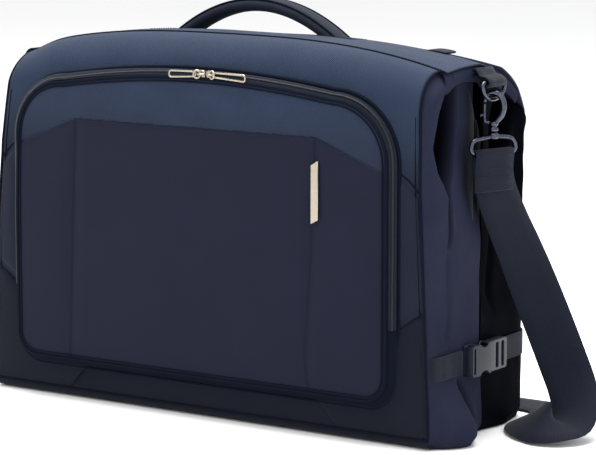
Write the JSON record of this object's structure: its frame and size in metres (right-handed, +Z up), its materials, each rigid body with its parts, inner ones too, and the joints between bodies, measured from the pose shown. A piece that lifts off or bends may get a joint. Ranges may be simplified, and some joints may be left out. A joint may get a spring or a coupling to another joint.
{
  "type": "garment bag",
  "caption": "Folded garment bag: two zipped padded halves on a top spine with a carry handle, a zipped front pocket, side buckles and a clip-on shoulder strap.",
  "frame": {"origin": "centre of the base of the folded bag, on the surface that it stands on", "axes": "+X to the right of someone facing the front pocket, the front faces -Y, +Z up"},
  "size_m": [0.7124, 0.2738, 0.43],
  "materials": {
    "shell": "matt navy woven polyester",
    "twill": "navy polyester with a fine ribbed twill",
    "lining": "smooth dark grey lining cloth",
    "webbing": "dark navy ribbed webbing",
    "board": "black stiffener sheet",
    "plastic": "satin moulded acetal",
    "dark_metal": "black nickel plate",
    "bright_metal": "pale champagne satin plate"
  },
  "bodies": {
    "spine": {"spine_panel": "twill", "spine_board": "board", "handle_anchor_left": "plastic", "handle_anchor_right": "plastic", "strap_tab_left": "webbing", "strap_tab_right": "webbing", "strap_loop_left": "dark_metal", "strap_loop_right": "dark_metal", "shoulder_strap": "webbing"},
    "handle": {"handle_grip": "shell"},
    "adjuster": {"strap_adjuster": "plastic"},
    "front_half": {"front_panel": "shell", "front_board": "board", "front_gusset_left": "twill", "front_gusset_right": "twill", "front_gusset_top": "twill", "front_gusset_bottom": "twill", "front_lining": "lining", "pocket_panel": "shell", "pocket_zip_band": "twill", "pocket_gusset": "twill", "name_plate": "bright_metal", "front_web_left": "webbing", "front_web_right": "webbing", "buckle_female_left": "plastic", "buckle_female_right": "plastic"},
    "front_lining_zip": {"front_lining_slider": "bright_metal"},
    "rear_half": {"rear_panel": "shell", "rear_board": "board", "rear_gusset_left": "twill", "rear_gusset_right": "twill", "rear_gusset_top": "twill", "rear_gusset_bottom": "twill", "rear_lining": "lining", "rear_web_left": "webbing", "rear_web_right": "webbing", "hanger_bracket": "plastic", "garment_strap_upper": "webbing", "garment_strap_lower": "webbing"},
    "rear_lining_zip": {"rear_lining_slider": "bright_metal"},
    "clamp": {"hanger_clamp": "plastic"},
    "bag_hook": {"hanging_hook": "dark_metal"},
    "ring_left": {"d_ring_left": "dark_metal"},
    "hook_left": {"snap_hook_left": "dark_metal"},
    "gate_left": {"hook_gate_left": "dark_metal"},
    "pocket_slider_left": {"pocket_slider_left": "bright_metal"},
    "pocket_pull_left": {"pocket_pull_left": "bright_metal"},
    "buckle_left": {"buckle_male_left": "plastic"},
    "arm_left_upper": {"buckle_arm_left_upper": "plastic"},
    "arm_left_lower": {"buckle_arm_left_lower": "plastic"},
    "ring_right": {"d_ring_right": "dark_metal"},
    "hook_right": {"snap_hook_right": "dark_metal"},
    "gate_right": {"hook_gate_right": "dark_metal"},
    "pocket_slider_right": {"pocket_slider_right": "bright_metal"},
    "pocket_pull_right": {"pocket_pull_right": "bright_metal"},
    "buckle_right": {"buckle_male_right": "plastic"},
    "arm_right_upper": {"buckle_arm_right_upper": "plastic"},
    "arm_right_lower": {"buckle_arm_right_lower": "plastic"}
  },
  "joints": [
    {"name": "fold_front", "type": "hinge", "parent": "spine", "child": "front_half", "pos_m": [0, -0.0855, 0.3875], "axis": [-1, 0, 0], "range_deg": [0, 90]},
    {"name": "fold_rear", "type": "hinge", "parent": "spine", "child": "rear_half", "pos_m": [0, 0.094, 0.382], "axis": [1, 0, 0], "range_deg": [0, 90], "deforming": ["shoulder_strap"]},
    {"name": "handle_tilt", "type": "hinge", "parent": "spine", "child": "handle", "pos_m": [0, 0.01, 0.4], "axis": [1, 0, 0], "range_deg": [-20, 20], "stiffness_Nm_per_rad": 0.4},
    {"name": "adjuster_slide", "type": "slide", "parent": "spine", "child": "adjuster", "axis": [0, 0, 1], "range_m": [-0.012, 0.004]},
    {"name": "front_lining_zip_slide", "type": "slide", "parent": "front_half", "child": "front_lining_zip", "axis": [1, 0, 0], "range_m": [-0.3, 0]},
    {"name": "rear_lining_zip_slide", "type": "slide", "parent": "rear_half", "child": "rear_lining_zip", "axis": [1, 0, 0], "range_m": [0, 0.3]},
    {"name": "clamp_hinge", "type": "hinge", "parent": "rear_half", "child": "clamp", "pos_m": [0, 0.0951, 0.036], "axis": [1, 0, 0], "range_deg": [0, 80]},
    {"name": "bag_hook_hinge", "type": "hinge", "parent": "rear_half", "child": "bag_hook", "pos_m": [0.13, 0.0964, 0.024], "axis": [1, 0, 0], "range_deg": [0, 80]},
    {"name": "ring_left_swing", "type": "hinge", "parent": "spine", "child": "ring_left", "pos_m": [-0.29, 0.004, 0.3575], "axis": [0, 1, 0], "range_deg": [-3, 3]},
    {"name": "hook_left_swivel", "type": "hinge", "parent": "spine", "child": "hook_left", "pos_m": [-0.29, 0.004, 0.3125], "axis": [0, 0, 1], "range_deg": [-8, 45]},
    {"name": "gate_left_push", "type": "hinge", "parent": "hook_left", "child": "gate_left", "pos_m": [-0.2827, -0.00092, 0.3175], "axis": [-0.5592, -0.829, 0], "range_deg": [0, 18], "stiffness_Nm_per_rad": 0.03},
    {"name": "pocket_slider_left_slide", "type": "slide", "parent": "front_half", "child": "pocket_slider_left", "axis": [-0.9988, 0, -0.0499], "range_m": [0, 0.1]},
    {"name": "pocket_pull_left_flip", "type": "hinge", "parent": "pocket_slider_left", "child": "pocket_pull_left", "pos_m": [0.0112, -0.106, 0.3585], "axis": [0, 0, 1], "range_deg": [0, 90]},
    {"name": "buckle_left_slide", "type": "slide", "parent": "rear_half", "child": "buckle_left", "axis": [0, 1, 0], "range_m": [0, 0.03]},
    {"name": "buckle_left_upper_press", "type": "hinge", "parent": "buckle_left", "child": "arm_left_upper", "pos_m": [-0.2838, 0.0066, 0.0893], "axis": [1, 0, 0], "range_deg": [0, 8], "stiffness_Nm_per_rad": 0.05},
    {"name": "buckle_left_lower_press", "type": "hinge", "parent": "buckle_left", "child": "arm_left_lower", "pos_m": [-0.2838, 0.0066, 0.0707], "axis": [-1, 0, 0], "range_deg": [0, 8], "stiffness_Nm_per_rad": 0.05},
    {"name": "ring_right_swing", "type": "hinge", "parent": "spine", "child": "ring_right", "pos_m": [0.29, 0.004, 0.3575], "axis": [0, 1, 0], "range_deg": [-3, 3]},
    {"name": "hook_right_swivel", "type": "hinge", "parent": "spine", "child": "hook_right", "pos_m": [0.29, 0.004, 0.3125], "axis": [0, 0, 1], "range_deg": [-45, 8]},
    {"name": "gate_right_push", "type": "hinge", "parent": "hook_right", "child": "gate_right", "pos_m": [0.2827, -0.00092, 0.3175], "axis": [-0.5592, 0.829, 0], "range_deg": [0, 18], "stiffness_Nm_per_rad": 0.03},
    {"name": "pocket_slider_right_slide", "type": "slide", "parent": "front_half", "child": "pocket_slider_right", "axis": [0.9988, 0, -0.0499], "range_m": [0, 0.1]},
    {"name": "pocket_pull_right_flip", "type": "hinge", "parent": "pocket_slider_right", "child": "pocket_pull_right", "pos_m": [0.0228, -0.106, 0.3585], "axis": [0, 0, -1], "range_deg": [0, 90]},
    {"name": "buckle_right_slide", "type": "slide", "parent": "rear_half", "child": "buckle_right", "axis": [0, 1, 0], "range_m": [0, 0.03]},
    {"name": "buckle_right_upper_press", "type": "hinge", "parent": "buckle_right", "child": "arm_right_upper", "pos_m": [0.2838, 0.0066, 0.0893], "axis": [1, 0, 0], "range_deg": [0, 8], "stiffness_Nm_per_rad": 0.05},
    {"name": "buckle_right_lower_press", "type": "hinge", "parent": "buckle_right", "child": "arm_right_lower", "pos_m": [0.2838, 0.0066, 0.0707], "axis": [-1, 0, 0], "range_deg": [0, 8], "stiffness_Nm_per_rad": 0.05}
  ]
}
